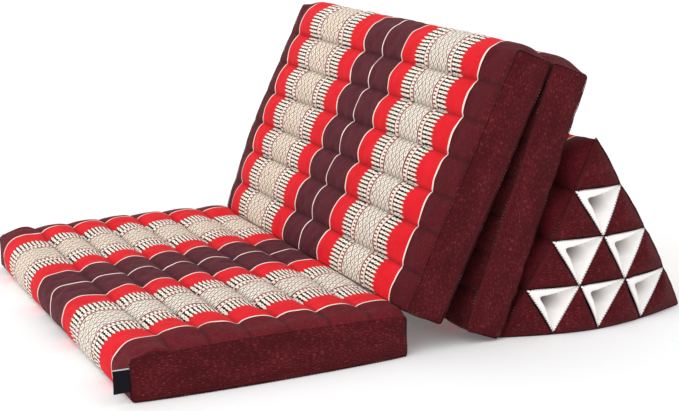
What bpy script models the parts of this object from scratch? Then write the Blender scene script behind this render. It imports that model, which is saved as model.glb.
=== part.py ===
"""Thai triangle cushion: a triangular bolster with three channel-stitched fold-out mats.

Metres, +Z up. +X runs from the seat mat's free end to the bolster, +Y across the width.
The origin is on the floor, under the middle of the whole cushion.
Lengths along X in the constants are measured from the seat mat's free end; the empty
"cushion_origin" carries everything and shifts it to the origin.
"""

import math

import bmesh
import bpy
from mathutils import Vector

# ---------------------------------------------------------------- sizes
WIDTH = 1.000  # all three mats and the bolster, along Y
MID_X = 0.5548  # from the seat mat's free end to the middle of the cushion

CHANNELS = 7  # filled tubes in each mat, lying along Y
EDGE_ROLL = 0.085  # how far in from the side seam the filling reaches its full height
SIDE_BULGE = 0.0050  # the side panels belly out this far
GROOVE = 0.0040  # channel seams on the underside of the seat mat

# One row for each mat. length and thick are measured at the side seams; start and finish
# say how far its two ends belly out, and under the belly of its plain face. A channel seam
# stands valley above the side seam, and lifts are the heights of the channels above that,
# lower where a neighbour leans on them. lips are the heights of the patterned face's two
# end edges over the side seam, and turns how far in from the ends they are rounded.
MATS = {
    "seat_mat": dict(
        length=0.5235, thick=0.0765, start=0.010, finish=0.0, under=0.0,
        valley=0.0075, lifts=(0.015, 0.0138, 0.0138, 0.0138, 0.0138, 0.013, 0.0065),
        lips=(-0.002, 0.0055), turns=(0.003, 0.001),
    ),
    "back_mat": dict(
        length=0.5174, thick=0.0759, start=0.004, finish=0.017, under=0.008,
        valley=0.0045, lifts=(0.012, 0.0142, 0.0142, 0.0142, 0.0142, 0.0142, 0.0155),
        lips=(0.0, -0.002), turns=(0.001, 0.003),
    ),
    "rear_mat": dict(
        length=0.5200, thick=0.0719, start=0.017, finish=0.004, under=0.008,
        valley=0.0045, lifts=(0.0155, 0.0142, 0.0142, 0.0142, 0.0135, 0.010, 0.005),
        lips=(-0.002, -0.002), turns=(0.003, 0.003),
    ),
}
BACK_LEAN = 0.4682  # front back mat from the vertical, radians
REAR_LEAN = 0.3735  # rear back mat from the vertical, radians
BACK_HINGE = (0.5262, 0.0839)  # x, z of the back mat's lower front edge, on the seat mat
REAR_TOP = (0.8340, 0.5147)  # x, z of the rear mat's upper front edge

# Bolster: an upright prism with four rolls on each slanted face.
TRI_X = 0.7235  # foot of the front slanted face
TRI_BASE = 0.4220
TRI_HEIGHT = 0.3555
TRI_APEX = 0.505  # share of the base under the ridge
TRI_HALF = 0.4985  # half length, at the end seams
ROLLS = 4
FRONT_ROLLS = (0.024, 0.022, 0.014, 0.004)  # belly of each roll from the ridge down
REAR_ROLLS = (0.018, 0.018, 0.017, 0.012)
END_BELLY = 0.020  # the middle of an end stands out this far
CORNER_IN = (0.020, 0.012, 0.034)  # ridge, front and rear corners are drawn in
TRI_PILLOW = 0.006  # each dark end triangle is padded by this much
FINE = 4  # each small triangle of an end is cut into FINE rows
PIT = 0.048  # depth of a recess
POCKET_OFF = 0.0012  # pocket cloth from the recess wall, along Y
POCKET_THICK = 0.0040  # pocket cloth along Y, which is 2 mm square to its walls
POCKET_TIP = 0.13  # its corners stop this share of a fine row short of their neighbours

LABEL = dict(out=0.033, tall=0.043, thick=0.0016, low=0.015)

COLOURS = {
    "woven_cotton": (0.30, 0.035, 0.055),
    "plain_cotton": (0.115, 0.016, 0.022),
    "pocket_cotton": (0.85, 0.82, 0.77),
    "label_satin": (0.012, 0.012, 0.016),
}


def material(slot, roughness=0.85):
    m = bpy.data.materials.get(slot) or bpy.data.materials.new(slot)
    m.use_nodes = True
    shader = m.node_tree.nodes["Principled BSDF"]
    shader.inputs["Base Color"].default_value = (*COLOURS[slot], 1.0)
    shader.inputs["Roughness"].default_value = roughness
    shader.inputs["Metallic"].default_value = 0.0
    return m


def piece(name, verts, faces, slot, parent, location=(0, 0, 0), rotation=(0, 0, 0)):
    """One closed body with its faces pointing out, in triangles."""
    bm = bmesh.new()
    made = [bm.verts.new(v) for v in verts]
    for f in faces:
        corners = []
        for i in f:
            if made[i] not in corners:
                corners.append(made[i])
        if len(corners) > 2:
            bm.faces.new(corners)
    loose = [v for v in bm.verts if not v.link_faces]
    bmesh.ops.delete(bm, geom=loose, context="VERTS")
    bmesh.ops.triangulate(bm, faces=bm.faces[:])
    bmesh.ops.recalc_face_normals(bm, faces=bm.faces[:])
    mesh = bpy.data.meshes.new(name)
    bm.to_mesh(mesh)
    bm.free()
    mesh.shade_smooth()
    mesh.set_sharp_from_angle(angle=math.radians(50))
    mesh.materials.append(material(slot))
    obj = bpy.data.objects.new(name, mesh)
    bpy.context.scene.collection.objects.link(obj)
    obj.parent = parent
    obj.location = location
    obj.rotation_euler = rotation
    return obj


# ---------------------------------------------------------------- mats
def tube(u):
    """Height of a stuffed tube across its own width, 0 at its seams and 1 on top."""
    return 1.0 - abs(2.0 * u - 1.0) ** 2.4


def roll_in(y):
    """0 at the side seams, 1 where the filling has reached its full height."""
    t = min(1.0, (WIDTH / 2 - abs(y)) / EDGE_ROLL)
    return math.sin(math.pi / 2 * max(0.0, t)) ** 1.15


def settle(name, s, y):
    """The seat mat's top is a little lower at its free end and higher along its sides."""
    if name != "seat_mat":
        return 0.0
    across = (2.0 * y / WIDTH) ** 2
    low = -0.007 * math.exp(-((s / 0.13) ** 2)) * (1.0 - across)
    high = 0.005 * across * math.sin(math.pi * min(1.0, max(0.0, s / 0.52)))
    return low + high


def mat_outlines(name, length, thick, start, finish, under, valley, lifts, lips, turns):
    """The side seam's outline and the full outline, point for point, round the mat."""
    steps = (0.0, 0.2, 0.5, 0.8)
    pitch = length / CHANNELS
    along = [(c + u) * pitch for c in range(CHANNELS) for u in steps] + [length]
    along[0], along[-1] = turns[0], length - turns[1]
    seam, full = [], []
    for k, s in enumerate(along):  # the patterned face
        c, u = min(k // 4, CHANNELS - 1), 1.0 if k == len(along) - 1 else steps[k % 4]
        left = lips[0] if c == 0 else valley
        right = lips[1] if c == CHANNELS - 1 else valley
        base = left + (right - left) * u
        edge = thick - (turns[0] if k == 0 else turns[1] if k == len(along) - 1 else 0.0)
        seam.append((s, edge))
        full.append((s, thick + base + lifts[c] * tube(u)))
    for v in (0.8, 0.5, 0.2):  # the end at s = length
        seam.append((length, thick * v))
        full.append((length + finish * tube(v), thick * v))
    for k in reversed(range(len(along))):  # the plain face
        s = along[k]
        c, u = min(k // 4, CHANNELS - 1), 1.0 if k == len(along) - 1 else steps[k % 4]
        if name == "seat_mat":
            n = GROOVE if u in (0.0, 1.0) and 0 < k < len(along) - 1 else 0.0
            seam.append((s, 0.0))
            full.append((s, n))
        else:
            near = s if name == "rear_mat" else length - s  # from the hinge of the two
            gap = 0.0015 + 0.5 * near * math.tan(BACK_LEAN - REAR_LEAN)
            belly = min(under, gap)
            seam.append((s, 0.003 * (k in (0, len(along) - 1))))
            full.append((s, -belly * tube(u)))
    for v in (0.2, 0.5, 0.8):  # the end at s = 0
        seam.append((0.0, thick * v))
        full.append((-start * tube(v), thick * v))
    return seam, full, len(along)


def mat(name, parent, location, rotation):
    row = MATS[name]
    seam, full, n_along = mat_outlines(name, **row)
    n = len(seam)
    ys = (0.5, 0.491, 0.476, 0.455, 0.425, 0.33, 0.12)
    stations = [-y * WIDTH for y in ys] + [y * WIDTH for y in reversed(ys)]
    verts, faces = [], []
    for y in stations:
        g = roll_in(y)
        for k, ((s0, n0), (s1, n1)) in enumerate(zip(seam, full)):
            s, h = s0 + (s1 - s0) * g, n0 + (n1 - n0) * g
            if k < n_along:
                h += settle(name, s, y) * (1.0 if k not in (0, n_along - 1) else 0.0)
            verts.append((s, y, h))
    for j in range(len(stations) - 1):
        for k in range(n):
            a, b = j * n + k, j * n + (k + 1) % n
            faces.append((a, b, b + n, a + n))
    # The side panels: from the seam's outline to a line along their middle.
    for y, j in ((stations[0] - SIDE_BULGE, 0), (stations[-1] + SIDE_BULGE, len(stations) - 1)):
        middle = []
        for k in range(n_along):
            s = min(max(seam[k][0], 0.030), row["length"] - 0.030)
            clamped = k and s == verts[middle[-1]][0]
            if clamped:
                middle.append(middle[-1])
            else:
                middle.append(len(verts))
                verts.append((s, y, row["thick"] / 2))
        top = [j * n + k for k in range(n_along)]
        low = [j * n + n_along + 3 + k for k in reversed(range(n_along))]
        for k in range(n_along - 1):
            faces.append((top[k], top[k + 1], middle[k + 1], middle[k]))
            faces.append((low[k + 1], low[k], middle[k], middle[k + 1]))
        end = [top[-1]] + [j * n + n_along + k for k in range(3)] + [low[-1]]
        start = [low[0]] + [j * n + 2 * n_along + 3 + k for k in range(3)] + [top[0]]
        for line, hub in ((end, middle[-1]), (start, middle[0])):
            for a, b in zip(line, line[1:]):
                faces.append((a, b, hub))
    return piece(name, verts, faces, "woven_cotton", parent, location, rotation)


# ---------------------------------------------------------------- bolster
def lattice(i, j, rows):
    """Weights of the ridge, front and rear corners at point j of row i."""
    ridge = 1.0 - i / rows
    rear = j / rows
    return ridge, 1.0 - ridge - rear, rear


def end_place(w):
    """x and z in the flat end, from the three corners' weights."""
    return w[2] * TRI_BASE + w[0] * TRI_APEX * TRI_BASE, w[0] * TRI_HEIGHT


def end_out(w):
    """How far a point of the end stands out of the plane of its seams."""
    belly = END_BELLY * (27.0 * w[0] * w[1] * w[2]) ** 0.7
    drawn = sum(a * max(0.0, 2.0 * b - 1.0) ** 1.5 for a, b in zip(CORNER_IN, w))
    return belly - drawn


def inside_small(i, j):
    """For a fine lattice point: the small triangle it is inside of, as (row, column,
    inverted), or None on a seam between two."""
    r, c = i // FINE, j // FINE
    di, dj = i - r * FINE, j - c * FINE
    if 0 < dj < di < FINE:
        return r, c, False
    if di < dj < FINE and 0 < di:
        return r, c, True
    return None


def pit_corners(r, c):
    """The inverted small triangle of row r, column c: its three lattice points."""
    return ((r, c), (r, c + 1), (r + 1, c + 1))


def fine_out(i, j):
    """Outward offset of a fine lattice point, with padding and recesses."""
    w = lattice(i, j, ROLLS * FINE)
    hit = inside_small(i, j)
    out = end_out(w)
    if hit is None:
        return out
    if hit[2]:
        return out - PIT
    return out + TRI_PILLOW


def roll_outline():
    """Points round the section between the end seams, base first, as (flat x, flat z,
    full x, full z)."""
    front, rear, top = Vector((0, 0)), Vector((TRI_BASE, 0)), Vector((TRI_APEX * TRI_BASE, TRI_HEIGHT))
    out = []
    n = ROLLS * FINE
    for a, b, bellies in ((front, top, tuple(reversed(FRONT_ROLLS))), (top, rear, REAR_ROLLS)):
        across = (b - a).normalized()
        normal = Vector((-across.y, across.x))
        for k in range(n):
            p = a + (b - a) * (k / n)
            belly = bellies[k // FINE] * tube((k % FINE) / FINE)
            if 0 < k:
                belly += 0.004 * min(1.0, k / 2, (n - k) / 2)  # row seams stand a little proud
            q = p + normal * belly
            out.append((p, q))
    for k in range(n):
        p = rear + (front - rear) * (k / n)
        out.append((p, p.copy()))
    return out


def tri_roll_in(y):
    t = min(1.0, (TRI_HALF - abs(y)) / 0.075)
    return math.sin(math.pi / 2 * max(0.0, t)) ** 1.2


def triangle_cushion(parent):
    n = ROLLS * FINE
    loop = roll_outline()
    # lattice points of the end, in the order of the loop: front side up, rear side down, base back
    border = [(n - k, 0) for k in range(n)] + [(k, k) for k in range(n)] + [(n, n - k) for k in range(n)]
    ys = (1.0, 0.98, 0.945, 0.90, 0.85, 0.45, 0.0)
    stations = [-TRI_HALF * y for y in ys] + [TRI_HALF * y for y in reversed(ys[:-1])]
    verts, faces = [], []
    for y in stations:
        g = tri_roll_in(y)
        share = abs(y) / TRI_HALF
        side = 1.0 if y > 0 else -1.0
        for (p, q), (i, j) in zip(loop, border):
            pull = end_out(lattice(i, j, n)) * share**4
            at = p + (q - p) * g
            verts.append((at.x, y + side * pull, at.y))
    m = len(loop)
    for a in range(len(stations) - 1):
        for k in range(m):
            b = (k + 1) % m
            faces.append((a * m + k, a * m + b, (a + 1) * m + b, (a + 1) * m + k))
    for side, first in ((-1.0, 0), (1.0, (len(stations) - 1) * m)):
        index = {}
        for k, at in enumerate(border):
            index[at] = first + k
        for i in range(n + 1):
            for j in range(i + 1):
                if (i, j) in index:
                    continue
                x, z = end_place(lattice(i, j, n))
                index[(i, j)] = len(verts)
                verts.append((x, side * (TRI_HALF + fine_out(i, j)), z))
        for i in range(n):
            for j in range(i + 1):
                faces.append((index[(i, j)], index[(i + 1, j)], index[(i + 1, j + 1)]))
                if j < i:
                    faces.append((index[(i, j)], index[(i, j + 1)], index[(i + 1, j + 1)]))
    return piece("triangle_cushion", verts, faces, "plain_cotton", parent, (TRI_X, 0, 0))


def pocket_point(i, j):
    """x, outward offset and z of the recess wall at a fine lattice point."""
    w = lattice(i, j, ROLLS * FINE)
    x, z = end_place(w)
    return Vector((x, end_out(w) - (0.0 if inside_small(i, j) is None else PIT), z))


def neighbours(i, j, grid):
    steps = ((1, 0), (-1, 0), (0, 1), (0, -1), (1, 1), (-1, -1))
    return [(i + a, j + b) for a, b in steps if (i + a, j + b) in grid]


def pocket(name, side, r, c, parent):
    """Thin white cloth that lines one recess, on the same fine lattice."""
    grid = []
    for i in range(r * FINE, (r + 1) * FINE + 1):
        for j in range(c * FINE, (c + 1) * FINE + 1):
            if j - c * FINE >= i - r * FINE:
                grid.append((i, j))
    tips = [(a * FINE, b * FINE) for a, b in pit_corners(r, c)]
    verts, faces, index = [], [], {}
    for layer, off in enumerate((POCKET_OFF, POCKET_OFF + POCKET_THICK)):
        for i, j in grid:
            on_rim = inside_small(i, j) is None
            thick = off if not (layer and on_rim) else POCKET_OFF + 0.0025
            at = pocket_point(i, j)
            if (i, j) in tips:  # drawn back along the small flat triangle in the tip
                near = [pocket_point(*p) for p in neighbours(i, j, grid)]
                at = at * (1.0 - 2.0 * POCKET_TIP) + (near[0] + near[1]) * POCKET_TIP
            index[(layer, i, j)] = len(verts)
            verts.append((at.x, side * (TRI_HALF + at.y + thick), at.z))
    inside = set(grid)
    for layer in (0, 1):
        for i, j in grid:
            for tri in (((i, j), (i + 1, j), (i + 1, j + 1)), ((i, j), (i, j + 1), (i + 1, j + 1))):
                if all(p in inside for p in tri):
                    faces.append(tuple(index[(layer, *p)] for p in tri))
    top = [(r * FINE, c * FINE + k) for k in range(FINE)]
    right = [(r * FINE + k, (c + 1) * FINE) for k in range(FINE)]
    left = [((r + 1) * FINE - k, (c + 1) * FINE - k) for k in range(FINE)]
    rim = top + right + left
    for a, b in zip(rim, rim[1:] + rim[:1]):
        faces.append((index[(0, *a)], index[(0, *b)], index[(1, *b)], index[(1, *a)]))
    return piece(name, verts, faces, "pocket_cotton", parent, (TRI_X, 0, 0))


def label(parent):
    """A folded tab that stands out of the seat mat's corner seam."""
    t, out, tall = LABEL["thick"] / 2, LABEL["out"], LABEL["tall"]
    side = [(0.0, t), (-0.012, t * 1.3), (-0.024, t * 1.2), (-out + 0.001, t * 0.9), (-out, 0.0)]
    ring = side + [(x, -h) for x, h in reversed(side[:-1])]
    verts, faces = [], []
    rows = 4
    for k in range(rows + 1):
        z = LABEL["low"] + tall * k / rows
        curl = 0.0015 * math.sin(math.pi * k / rows)
        for x, h in ring:
            lean = -0.004 * (x / out) ** 2 + curl * x / out
            verts.append((x, h + lean, z))
    m = len(ring)
    for k in range(rows):
        for a in range(m):
            b = (a + 1) % m
            faces.append((k * m + a, k * m + b, (k + 1) * m + b, (k + 1) * m + a))
    faces.append(tuple(range(m)))
    faces.append(tuple(rows * m + a for a in range(m)))
    return piece("label_tab", verts, faces, "label_satin", parent, (-0.0028, -WIDTH / 2 + 0.0005, 0))


def main():
    for o in list(bpy.data.objects):
        bpy.data.objects.remove(o, do_unlink=True)
    origin = bpy.data.objects.new("cushion_origin", None)
    bpy.context.scene.collection.objects.link(origin)
    origin.location = (-MID_X, 0, 0)

    mat("seat_mat", origin, (0, 0, 0), (0, 0, 0))
    # Upright mats: local X runs along the mat, local Z out of its patterned face.
    t = MATS["back_mat"]["thick"]
    foot = Vector((BACK_HINGE[0] + math.cos(BACK_LEAN) * t, 0, BACK_HINGE[1] - math.sin(BACK_LEAN) * t))
    mat("back_mat", origin, foot, (0, -(math.pi / 2 - BACK_LEAN), 0))
    mat("rear_mat", origin, (REAR_TOP[0], 0, REAR_TOP[1]), (0, math.pi / 2 + REAR_LEAN, 0))

    triangle_cushion(origin)
    for word, side in (("near", -1.0), ("far", 1.0)):
        count = 0
        for r in range(1, ROLLS):
            for c in range(r):
                count += 1
                pocket(f"pocket_{word}_{count}", side, r, c, origin)
    label(origin)
    bpy.context.view_layer.update()


main()
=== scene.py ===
import math

import bmesh
import bpy
import numpy as np
from mathutils import Matrix, Vector


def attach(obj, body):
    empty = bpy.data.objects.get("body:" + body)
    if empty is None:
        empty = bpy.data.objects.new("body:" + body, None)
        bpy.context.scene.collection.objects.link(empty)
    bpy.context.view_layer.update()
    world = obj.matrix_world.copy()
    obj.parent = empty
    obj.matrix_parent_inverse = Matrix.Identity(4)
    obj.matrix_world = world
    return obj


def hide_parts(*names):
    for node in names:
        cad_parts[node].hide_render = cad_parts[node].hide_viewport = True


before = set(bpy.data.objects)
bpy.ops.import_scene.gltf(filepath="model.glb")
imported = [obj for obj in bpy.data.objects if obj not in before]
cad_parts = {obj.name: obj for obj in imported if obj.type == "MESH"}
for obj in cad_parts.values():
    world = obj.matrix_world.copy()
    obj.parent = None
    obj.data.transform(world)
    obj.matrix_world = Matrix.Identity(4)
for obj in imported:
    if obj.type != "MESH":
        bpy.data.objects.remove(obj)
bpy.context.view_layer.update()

MID_X = 0.5548  # the seat mat's free end is this far to the -X side of the origin

# ------------------------------------------------------------------ sizes, in metres
WIDTH = 1.0
CHANNELS = 7
STEPS = (0.0, 0.035, 0.095, 0.18, 0.29, 0.42, 0.55, 0.68, 0.79, 0.885, 0.96)  # across a channel
END_STEPS = 10
BACK_LEAN, REAR_LEAN = 0.4682, 0.3735
BACK_HINGE = (0.5262, 0.0839)
REAR_TOP = (0.8340, 0.5147)
TRI_X, TRI_BASE, TRI_HEIGHT, TRI_APEX, TRI_HALF = 0.7235, 0.4220, 0.3555, 0.505, 0.4985

MATS = {
    "seat_mat": dict(
        length=0.5235, thick=0.0765, start=0.010, finish=0.006, under=0.0, valley=0.0075, skew=0.0,
        lifts=(0.015, 0.0138, 0.0138, 0.0138, 0.0138, 0.013, 0.0065), lips=(-0.002, 0.0095), turns=(0.004, 0.0008),
        seams=(0.0757, 0.1493, 0.2239, 0.2978, 0.3753, 0.4573), seed=11,
        lines=((-0.4269, -0.0079), (-0.0929, 0.0136), (0.0015, 0.0001), (0.0923, -0.0037), (0.4255, 0.0132)),
    ),
    "back_mat": dict(
        length=0.5174, thick=0.0759, start=0.0055, finish=0.018, under=0.008, valley=0.0045, skew=0.0050,
        lifts=(0.012, 0.0142, 0.0142, 0.0142, 0.0142, 0.0142, 0.0155), lips=(0.0030, -0.001), turns=(0.0010, 0.0012),
        seams=(0.0709, 0.1509, 0.2196, 0.2948, 0.3701, 0.4433), seed=23,
        lines=((-0.4269, 0.0309), (-0.0929, -0.0162), (0.0015, -0.0202), (0.0923, -0.0239), (0.4255, 0.0407)),
    ),
    "rear_mat": dict(
        length=0.5200, thick=0.0719, start=0.018, finish=0.004, under=0.008, valley=0.0045, skew=0.0,
        lifts=(0.0155, 0.0142, 0.0142, 0.0142, 0.0135, 0.010, 0.005), lips=(-0.002, -0.002), turns=(0.0014, 0.004),
        seams=(0.0770, 0.1510, 0.2255, 0.2985, 0.3735, 0.4458), seed=37,
        lines=((-0.4110, -0.01), (-0.1020, 0.01), (-0.0080, 0.0), (0.0800, 0.0), (0.4460, 0.0)),
    ),
}
# how the filling rises from the side seams: (distances from the side, shares of the full height)
CREST = {
    "near": ((0, 0.010, 0.030, 0.052, 0.073, 0.100, 0.134, 0.20, 0.30, 0.5), (0, 0.07, 0.20, 0.32, 0.46, 0.78, 1.08, 1.06, 0.90, 0.86)),
    "far": ((0, 0.010, 0.030, 0.052, 0.0745, 0.105, 0.15, 0.20, 0.30, 0.5), (0, 0.10, 0.28, 0.52, 0.73, 0.95, 1.05, 1.05, 0.92, 0.86)),
}
VALLEY = {
    (True, "near"): ((0, 0.012, 0.030, 0.052, 0.073, 0.100, 0.134, 0.20, 0.30, 0.5), (0, 0.62, 1.25, 1.70, 1.78, 1.25, 0.62, 0.80, 1.0, 1.0)),
    (True, "far"): ((0, 0.012, 0.030, 0.060, 0.0745, 0.100, 0.134, 0.20, 0.5), (0, 0.60, 1.20, 1.62, 1.62, 1.35, 1.00, 0.95, 1.0)),
    (False, "near"): ((0, 0.012, 0.030, 0.052, 0.073, 0.134, 0.20, 0.5), (0, 0.50, 0.95, 1.15, 1.10, 0.75, 0.9, 1.0)),
    (False, "far"): ((0, 0.012, 0.030, 0.060, 0.0745, 0.134, 0.20, 0.5), (0, 0.45, 0.90, 1.10, 1.05, 0.80, 0.9, 1.0)),
}
NOMINAL = (-0.4262, -0.0926, 0.0, 0.0926, 0.4262)  # the five cream lines in the weave


def matrix_of(name):
    if name == "seat_mat":
        return Matrix.Translation((-MID_X, 0, 0))
    if name == "back_mat":
        t = MATS[name]["thick"]
        at = (BACK_HINGE[0] + math.cos(BACK_LEAN) * t - MID_X, 0, BACK_HINGE[1] - math.sin(BACK_LEAN) * t)
        return Matrix.Translation(at) @ Matrix.Rotation(-(math.pi / 2 - BACK_LEAN), 4, "Y")
    at = (REAR_TOP[0] - MID_X, 0, REAR_TOP[1])
    return Matrix.Translation(at) @ Matrix.Rotation(math.pi / 2 + REAR_LEAN, 4, "Y")


# ------------------------------------------------------------------ small helpers
def noise3(p, scale, seed):
    """Smooth value noise in -1..1 at points p (n, 3), with cells of the given size."""
    q = np.asarray(p, float) / scale
    base = np.floor(q).astype(np.int64)
    f = q - base
    f = f * f * (3 - 2 * f)
    out = np.zeros(len(q))
    for dx in (0, 1):
        for dy in (0, 1):
            for dz in (0, 1):
                i = base + (dx, dy, dz)
                h = (i[:, 0] * 374761393 + i[:, 1] * 668265263 + i[:, 2] * 2147483647 + seed * 144665) & 0xFFFFFFFF
                h = ((h ^ (h >> 13)) * 1274126177) & 0xFFFFFFFF
                h = (h ^ (h >> 16)) / 4294967295.0
                w = (f[:, 0] if dx else 1 - f[:, 0]) * (f[:, 1] if dy else 1 - f[:, 1]) * (f[:, 2] if dz else 1 - f[:, 2])
                out += w * (2 * h - 1)
    return out


def noise1(t, scale, seed):
    t = np.atleast_1d(np.asarray(t, float))
    return noise3(np.stack([t, t * 0 + 0.37, t * 0 + 0.11], 1), scale, seed)


def new_mesh(name, verts, faces, attributes=None, smooth=True):
    mesh = bpy.data.meshes.new(name)
    mesh.from_pydata([tuple(map(float, v)) for v in verts], [], [tuple(map(int, f)) for f in faces])
    mesh.update()
    if smooth:
        mesh.shade_smooth()
    for key, values in (attributes or {}).items():
        a = mesh.attributes.new(key, "FLOAT_VECTOR", "POINT")
        a.data.foreach_set("vector", np.asarray(values, np.float32).ravel())
    obj = bpy.data.objects.new(name, mesh)
    bpy.context.scene.collection.objects.link(obj)
    return obj


def outward(obj):
    """Turns all faces so that they point out of the closed mesh."""
    bm = bmesh.new()
    bm.from_mesh(obj.data)
    bmesh.ops.recalc_face_normals(bm, faces=bm.faces[:])
    if bm.calc_volume(signed=True) < 0:
        bmesh.ops.reverse_faces(bm, faces=bm.faces[:])
    bm.to_mesh(obj.data)
    bm.free()


def finish_piece(obj, node, material):
    obj.data.materials.clear()
    for m in material if isinstance(material, (list, tuple)) else [material]:
        obj.data.materials.append(m)
    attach(obj, "root")
    if node:
        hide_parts(node)
    return obj


def smooth01(x):
    x = np.clip(x, 0.0, 1.0)
    return x * x * (3 - 2 * x)


def edge_roll(depth, reach, power=1.15):
    """0 at a seam, 1 where the filling has reached its full height."""
    return math.sin(math.pi / 2 * min(1.0, max(0.0, depth) / reach)) ** power


def cubic(x, y, at):
    """A smooth curve through the points (x, y), read at the given places."""
    slope = np.gradient(y, x)
    k = np.clip(np.searchsorted(x, at) - 1, 0, len(x) - 2)
    h = x[k + 1] - x[k]
    t = (at - x[k]) / h
    a, b = y[k], y[k + 1]
    return (
        (2 * t**3 - 3 * t**2 + 1) * a + (t**3 - 2 * t**2 + t) * h * slope[k]
        + (-2 * t**3 + 3 * t**2) * b + (t**3 - t**2) * h * slope[k + 1]
    )


def tube(u, power=2.3):
    return 1.0 - np.abs(2.0 * np.asarray(u, float) - 1.0) ** power


# ------------------------------------------------------------------ materials
def srgb(r, g, b):
    return tuple(((c / 255 + 0.055) / 1.055) ** 2.4 if c / 255 > 0.04045 else c / 255 / 12.92 for c in (r, g, b)) + (1.0,)


class Expr:
    """A number on a node tree, with arithmetic that adds Math nodes."""

    tree = None

    def __init__(self, socket):
        self.s = socket

    @staticmethod
    def make(op, *args):
        n = Expr.tree.nodes.new("ShaderNodeMath")
        n.operation = op
        for i, a in enumerate(args):
            if isinstance(a, Expr):
                Expr.tree.links.new(a.s, n.inputs[i])
            else:
                n.inputs[i].default_value = float(a)
        return Expr(n.outputs[0])

    def __add__(self, o):
        return Expr.make("ADD", self, o)

    __radd__ = __add__

    def __sub__(self, o):
        return Expr.make("SUBTRACT", self, o)

    def __rsub__(self, o):
        return Expr.make("SUBTRACT", o, self)

    def __mul__(self, o):
        return Expr.make("MULTIPLY", self, o)

    __rmul__ = __mul__

    def __truediv__(self, o):
        return Expr.make("DIVIDE", self, o)

    def __lt__(self, o):
        return Expr.make("LESS_THAN", self, o)

    def __gt__(self, o):
        return Expr.make("GREATER_THAN", self, o)


def absolute(a):
    return Expr.make("ABSOLUTE", a)


def fract(a):
    return Expr.make("FRACT", a)


def sine(a):
    return Expr.make("SINE", a)


def between(a, lo, hi):
    return (a > lo) * (a < hi)


def either(a, b):
    return Expr.make("MAXIMUM", a, b)


def both(a, b):
    return Expr.make("MULTIPLY", a, b)


def centred(a):
    """0 in the middle of each repeat and 1 at its ends."""
    return absolute(fract(a) - 0.5) * 2.0


def mix(factor, a, b):
    n = Expr.tree.nodes.new("ShaderNodeMix")
    n.data_type = "RGBA"
    for sock, value in ((n.inputs[0], factor), (n.inputs[6], a), (n.inputs[7], b)):
        if isinstance(value, Expr):
            Expr.tree.links.new(value.s, sock)
        elif isinstance(value, bpy.types.NodeSocket):
            Expr.tree.links.new(value, sock)
        else:
            sock.default_value = value
    return n.outputs[2]


def vector(x, y, z=0.0):
    n = Expr.tree.nodes.new("ShaderNodeCombineXYZ")
    for sock, value in zip(n.inputs, (x, y, z)):
        if isinstance(value, Expr):
            Expr.tree.links.new(value.s, sock)
        else:
            sock.default_value = value
    return n.outputs[0]


def noise(vec, scale=1.0, detail=2.0, rough=0.5):
    n = Expr.tree.nodes.new("ShaderNodeTexNoise")
    n.inputs["Scale"].default_value = scale
    n.inputs["Detail"].default_value = detail
    n.inputs["Roughness"].default_value = rough
    Expr.tree.links.new(vec, n.inputs["Vector"])
    return Expr(n.outputs[0])


def ramp(a, lo, hi):
    n = Expr.tree.nodes.new("ShaderNodeMapRange")
    n.clamp = True
    Expr.tree.links.new(a.s, n.inputs[0])
    n.inputs[1].default_value, n.inputs[2].default_value = lo, hi
    return Expr(n.outputs[0])


def curve(a, stops, top=1.0):
    """A value looked up along a over 0..top, straight between the stops."""
    n = Expr.tree.nodes.new("ShaderNodeValToRGB")
    Expr.tree.links.new((a / top).s, n.inputs[0])
    band = n.color_ramp
    while len(band.elements) > 1:
        band.elements.remove(band.elements[-1])
    for k, (at, value) in enumerate(stops):
        e = band.elements[0] if k == 0 else band.elements.new(at)
        e.position = at
        e.color = (value, value, value, 1)
    return Expr(n.outputs[0])


def shaded(colour, value):
    n = Expr.tree.nodes.new("ShaderNodeHueSaturation")
    Expr.tree.links.new(colour, n.inputs["Color"])
    Expr.tree.links.new(value.s, n.inputs["Value"])
    return n.outputs[0]


def start_material(name, roughness=0.85, sheen=0.04, tint=(1.0, 0.8, 0.8, 1.0), specular=0.12):
    m = bpy.data.materials.new(name)
    m.use_nodes = True
    Expr.tree = m.node_tree
    shader = m.node_tree.nodes["Principled BSDF"]
    shader.inputs["Roughness"].default_value = roughness
    shader.inputs["Specular IOR Level"].default_value = specular
    shader.inputs["Sheen Weight"].default_value = sheen
    shader.inputs["Sheen Roughness"].default_value = 0.45
    shader.inputs["Sheen Tint"].default_value = tint
    return m, shader


def coordinates(attribute="weave"):
    n = Expr.tree.nodes.new("ShaderNodeAttribute")
    n.attribute_name = attribute
    sep = Expr.tree.nodes.new("ShaderNodeSeparateXYZ")
    Expr.tree.links.new(n.outputs["Vector"], sep.inputs[0])
    return [Expr(o) for o in sep.outputs], n.outputs["Vector"]


def end_material(shader, colour, height, strength=0.35, distance=0.0006, rough=None):
    Expr.tree.links.new(colour, shader.inputs["Base Color"])
    bump = Expr.tree.nodes.new("ShaderNodeBump")
    bump.inputs["Strength"].default_value = strength
    bump.inputs["Distance"].default_value = distance
    Expr.tree.links.new(height.s, bump.inputs["Height"])
    Expr.tree.links.new(bump.outputs[0], shader.inputs["Normal"])
    if rough is not None:
        Expr.tree.links.new(rough.s, shader.inputs["Roughness"])


CREAM = srgb(250, 240, 226)
PINK_CREAM = srgb(246, 216, 204)
DEEP = srgb(70, 11, 18)
DEEP_LIGHT = srgb(146, 74, 76)
INK = srgb(22, 6, 8)


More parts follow.
